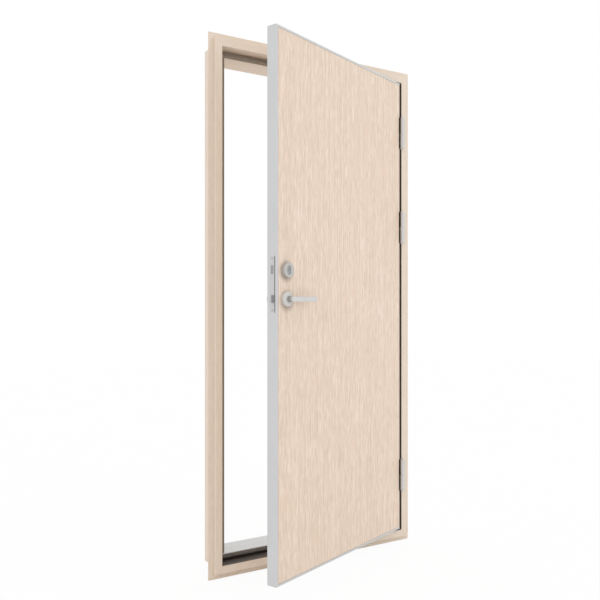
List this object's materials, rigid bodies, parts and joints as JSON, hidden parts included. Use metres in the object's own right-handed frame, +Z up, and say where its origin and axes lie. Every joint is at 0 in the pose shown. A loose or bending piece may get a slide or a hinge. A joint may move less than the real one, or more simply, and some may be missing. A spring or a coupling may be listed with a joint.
{
  "type": "fire door",
  "caption": "Single-leaf fire door: steel-edged leaf with oak-look faces on lift-off hinges in a folded-steel wall frame with seals, mortice lock and lever handles.",
  "frame": {"origin": "middle of the lower edge of the wall flange, on the flange's back face (the wall plane)", "axes": "+Z up, front (opening) side towards -Y, hinges towards +X; the frame body goes into the wall along +Y"},
  "size_m": [1, 0.5081, 2.138],
  "materials": {
    "frame_finish": "pale oak print on folded steel, satin",
    "leaf_finish": "bleached oak face, fine upright grain, satin",
    "edge_steel": "light grey paint, satin",
    "seal_rubber": "black, matt",
    "core_board": "fire-resisting board",
    "tread_metal": "mill aluminium, fine lines",
    "rebate_metal": "dark grey, matt",
    "handle_steel": "satin",
    "lock_metal": "dull",
    "plate_steel": "satin",
    "hinge_steel": "satin"
  },
  "bodies": {
    "frame": {"lock_jamb": "frame_finish", "hinge_jamb": "frame_finish", "head": "frame_finish", "sill": "frame_finish", "tread_plate": "tread_metal", "rebate_strip": "rebate_metal", "lock_side_seal": "seal_rubber", "hinge_side_seal": "seal_rubber", "head_seal": "seal_rubber", "sill_seal": "seal_rubber", "strike_plate": "plate_steel", "upper_hinge_frame_half": "hinge_steel", "middle_hinge_frame_half": "hinge_steel", "lower_hinge_frame_half": "hinge_steel"},
    "leaf": {"leaf_core": "core_board", "front_panel": "leaf_finish", "back_panel": "leaf_finish", "lock_stile": "edge_steel", "hinge_stile": "edge_steel", "top_rail": "edge_steel", "bottom_rail": "edge_steel", "lock_case": "lock_metal", "faceplate": "plate_steel", "front_lever_rose": "handle_steel", "back_lever_rose": "handle_steel", "front_cylinder_ring": "handle_steel", "back_cylinder_ring": "handle_steel", "front_cylinder": "lock_metal", "back_cylinder": "lock_metal", "upper_hinge_leaf_half": "hinge_steel", "middle_hinge_leaf_half": "hinge_steel", "lower_hinge_leaf_half": "hinge_steel"},
    "lever": {"front_lever": "handle_steel", "back_lever": "handle_steel", "spindle": "lock_metal"},
    "latch": {"latch_bolt": "lock_metal"},
    "bolt": {"dead_bolt": "lock_metal"}
  },
  "joints": [
    {"name": "leaf_swing", "type": "hinge", "parent": "frame", "child": "leaf", "pos_m": [0.445, -0.031, 1.07], "axis": [0, 0, 1], "range_deg": [-21, 149]},
    {"name": "lever_turn", "type": "hinge", "parent": "leaf", "child": "lever", "pos_m": [-0.33475, -0.31853, 1.094], "axis": [-0.3584, 0.9336, 0], "range_deg": [0, 45], "stiffness_Nm_per_rad": 1.2, "springref_deg": -51.57},
    {"name": "latch_slide", "type": "slide", "parent": "leaf", "child": "latch", "axis": [0.9336, 0.3584, 0], "range_m": [0, 0.011]},
    {"name": "bolt_slide", "type": "slide", "parent": "leaf", "child": "bolt", "axis": [-0.9336, -0.3584, 0], "range_m": [0, 0.015]}
  ],
  "couplings": [
    {"joint": "latch_slide", "follows": "lever_turn", "m_per_rad": 0.014}
  ]
}
